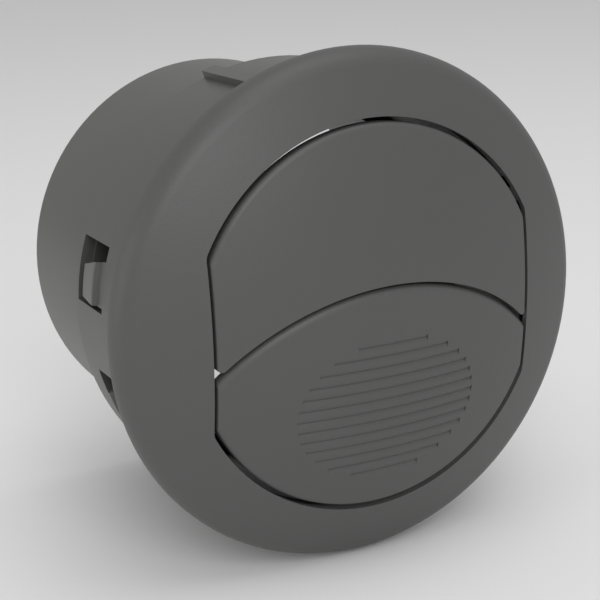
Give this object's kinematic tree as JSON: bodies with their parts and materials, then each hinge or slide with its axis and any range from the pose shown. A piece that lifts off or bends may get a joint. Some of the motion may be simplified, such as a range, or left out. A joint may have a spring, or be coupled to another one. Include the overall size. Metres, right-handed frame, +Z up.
{
  "type": "dashboard air vent",
  "caption": "Round dashboard air vent: a domed bezel with linked tilting flaps that turns in a snap-in housing with an open rear barrel for the duct.",
  "frame": {"origin": "on the vent's axis, in the rear face of the flange that seats on the dash", "axes": "+Y along the vent's axis into the dash, +X to the right seen from the cabin, +Z up"},
  "size_m": [0.1, 0.082, 0.1],
  "materials": {
    "grained_shell": "fine leather grain, low sheen",
    "housing_plastic": "smooth moulded, low sheen",
    "inner_plastic": "smooth moulded, dull",
    "ring_plastic": "smooth moulded",
    "felt": "felt",
    "bearing_plastic": "smooth moulded, slippery",
    "pin_steel": "drawn wire"
  },
  "bodies": {
    "housing": {"housing": "housing_plastic"},
    "turning_carrier": {"bezel": "grained_shell", "carrier": "inner_plastic", "retaining_ring": "ring_plastic", "friction_washer": "felt", "upper_left_bush": "bearing_plastic", "upper_right_bush": "bearing_plastic", "lower_left_bush": "bearing_plastic", "lower_right_bush": "bearing_plastic"},
    "upper_flap_unit": {"upper_flap": "grained_shell", "upper_flap_frame": "inner_plastic", "upper_left_pin": "pin_steel", "upper_right_pin": "pin_steel", "upper_crank_pin": "pin_steel"},
    "lower_flap_unit": {"lower_flap": "grained_shell", "lower_flap_frame": "inner_plastic", "lower_left_pin": "pin_steel", "lower_right_pin": "pin_steel", "lower_crank_pin": "pin_steel"},
    "link": {"link_rod": "bearing_plastic"}
  },
  "joints": [
    {"name": "vent_turn", "type": "hinge", "parent": "housing", "child": "turning_carrier", "pos_m": [0, 0, 0], "axis": [0, 1, 0], "continuous": true},
    {"name": "lower_flap_tilt", "type": "hinge", "parent": "turning_carrier", "child": "lower_flap_unit", "pos_m": [0, -0.0055, -0.012], "axis": [1, 0, 0], "range_deg": [0, 75]},
    {"name": "upper_flap_tilt", "type": "hinge", "parent": "turning_carrier", "child": "upper_flap_unit", "pos_m": [0, -0.0055, 0.012], "axis": [1, 0, 0], "range_deg": [0, 75]},
    {"name": "link_swing", "type": "hinge", "parent": "lower_flap_unit", "child": "link", "pos_m": [0, 0.00293, -0.01907], "axis": [1, 0, 0], "range_deg": [-75, 0]}
  ],
  "couplings": [
    {"joint": "upper_flap_tilt", "follows": "lower_flap_tilt", "ratio": 1},
    {"joint": "link_swing", "follows": "lower_flap_tilt", "ratio": -1}
  ]
}
